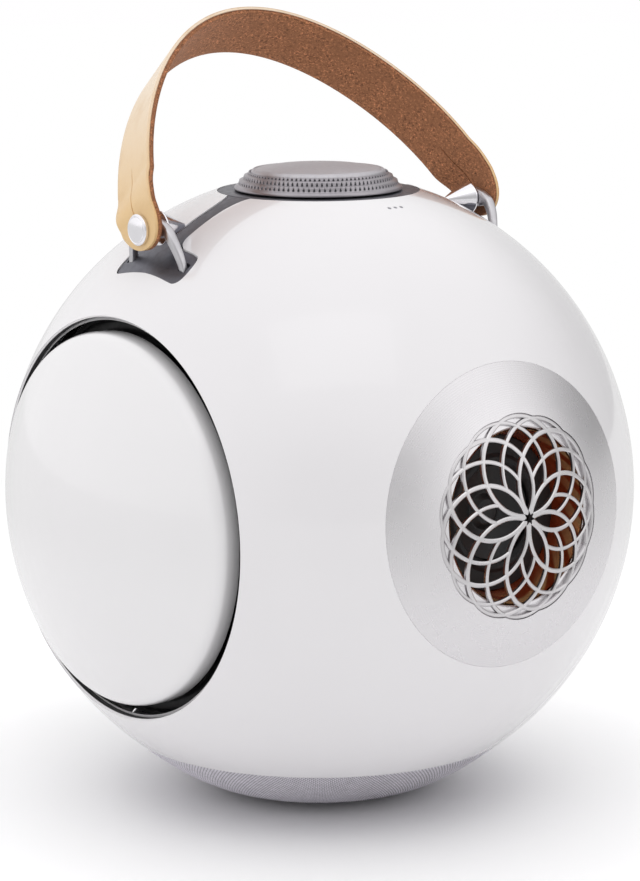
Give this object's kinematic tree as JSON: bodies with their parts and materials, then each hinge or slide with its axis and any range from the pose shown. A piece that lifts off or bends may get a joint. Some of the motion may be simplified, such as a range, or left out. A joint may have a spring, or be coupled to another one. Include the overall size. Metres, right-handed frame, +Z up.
{
  "type": "smart speaker",
  "caption": "Spherical smart speaker with side drivers, a rosette front grille, a rotary dial on top, a fine mesh base and a swinging leather strap.",
  "frame": {"origin": "on the table, under the centre of the foot, straight below the sphere centre", "axes": "+Z up; the front grille faces -Y; +X to the right seen from the front"},
  "size_m": [0.2996, 0.2999, 0.3714],
  "materials": {
    "shell": "gloss pearl-white lacquer",
    "dome": "gloss pearl-white lacquer over a moulded dome",
    "bezel": "satin, lathe turned",
    "grille": "satin, cut ribs with broken edges",
    "trim": "satin dark blue-grey",
    "dial": "satin grey anodised, stepped and dotted",
    "bail": "satin cast bar",
    "polished": "mirror polished",
    "waveguide": "polished copper-coloured horn",
    "coil": "copper winding",
    "rubber": "matte black",
    "cone": "black pressed cone",
    "basket": "matte black frame",
    "magnet": "plain dark ferrite and steel",
    "plastic": "fine moulded texture",
    "mesh": "fine light grey mesh",
    "leather": "smooth tan leather",
    "suede": "brown suede, flesh side",
    "steel": "plain steel",
    "board": "green circuit board",
    "light": "frosted light pipe",
    "button": "satin button cap"
  },
  "bodies": {
    "cabinet": {"shell_main": "shell", "rear_cover": "shell", "rear_seal": "rubber", "rear_panel": "plastic", "mains_inlet": "plastic", "audio_jack": "steel", "top_trim": "trim", "status_light_left": "light", "status_light_middle": "light", "status_light_right": "light", "base_mesh": "mesh", "base_plate": "plastic", "foot_pad": "rubber", "base_screw_1": "steel", "base_screw_2": "steel", "base_screw_3": "steel", "front_bezel": "bezel", "front_grille": "grille", "waveguide_ring": "waveguide", "front_surround": "rubber", "front_basket": "basket", "front_magnet": "magnet", "core_chassis": "basket", "main_board": "board", "power_supply": "plastic", "encoder_body": "plastic", "bail_left": "bail", "bail_right": "bail", "woofer_surround_left": "rubber", "woofer_basket_left": "basket", "woofer_magnet_left": "magnet", "woofer_surround_right": "rubber", "woofer_basket_right": "basket", "woofer_magnet_right": "magnet"},
    "dial_ring": {"dial_ring": "dial"},
    "dial_cap": {"dial_cap": "dial"},
    "woofer_left": {"woofer_dome_left": "dome", "woofer_coil_left": "coil"},
    "woofer_right": {"woofer_dome_right": "dome", "woofer_coil_right": "coil"},
    "front_cone": {"front_cone": "cone", "front_coil": "coil"},
    "handle": {"strap_leather": "leather", "strap_lining": "suede", "stud_left": "polished", "stud_right": "polished", "cone_nut_left": "polished", "cone_nut_right": "polished"},
    "power_button": {"power_button": "button"},
    "pair_button": {"pair_button": "button"}
  },
  "joints": [
    {"name": "dial_turn", "type": "hinge", "parent": "cabinet", "child": "dial_ring", "pos_m": [0, 0, 0.29], "axis": [0, 0, 1], "continuous": true},
    {"name": "dial_press", "type": "slide", "parent": "dial_ring", "child": "dial_cap", "axis": [0, 0, -1], "range_m": [0, 0.0012], "stiffness_N_per_m": 1500, "springref_m": -0.001},
    {"name": "woofer_left_stroke", "type": "slide", "parent": "cabinet", "child": "woofer_left", "axis": [-1, 0, 0], "range_m": [-0.005, 0.005], "stiffness_N_per_m": 3000},
    {"name": "woofer_right_stroke", "type": "slide", "parent": "cabinet", "child": "woofer_right", "axis": [1, 0, 0], "range_m": [-0.005, 0.005], "stiffness_N_per_m": 3000},
    {"name": "front_cone_stroke", "type": "slide", "parent": "cabinet", "child": "front_cone", "axis": [0, -0.998, 0.0628], "range_m": [-0.0015, 0.0015], "stiffness_N_per_m": 1500},
    {"name": "handle_swing", "type": "hinge", "parent": "cabinet", "child": "handle", "pos_m": [0, 0, 0.2775], "axis": [-1, 0, 0], "range_deg": [-96, 28]},
    {"name": "power_button_press", "type": "slide", "parent": "cabinet", "child": "power_button", "axis": [0, -1, 0], "range_m": [0, 0.0008], "stiffness_N_per_m": 600, "springref_m": -0.0008},
    {"name": "pair_button_press", "type": "slide", "parent": "cabinet", "child": "pair_button", "axis": [0, -1, 0], "range_m": [0, 0.0008], "stiffness_N_per_m": 600, "springref_m": -0.0008}
  ],
  "couplings": [
    {"joint": "woofer_right_stroke", "follows": "woofer_left_stroke", "ratio": 1}
  ]
}
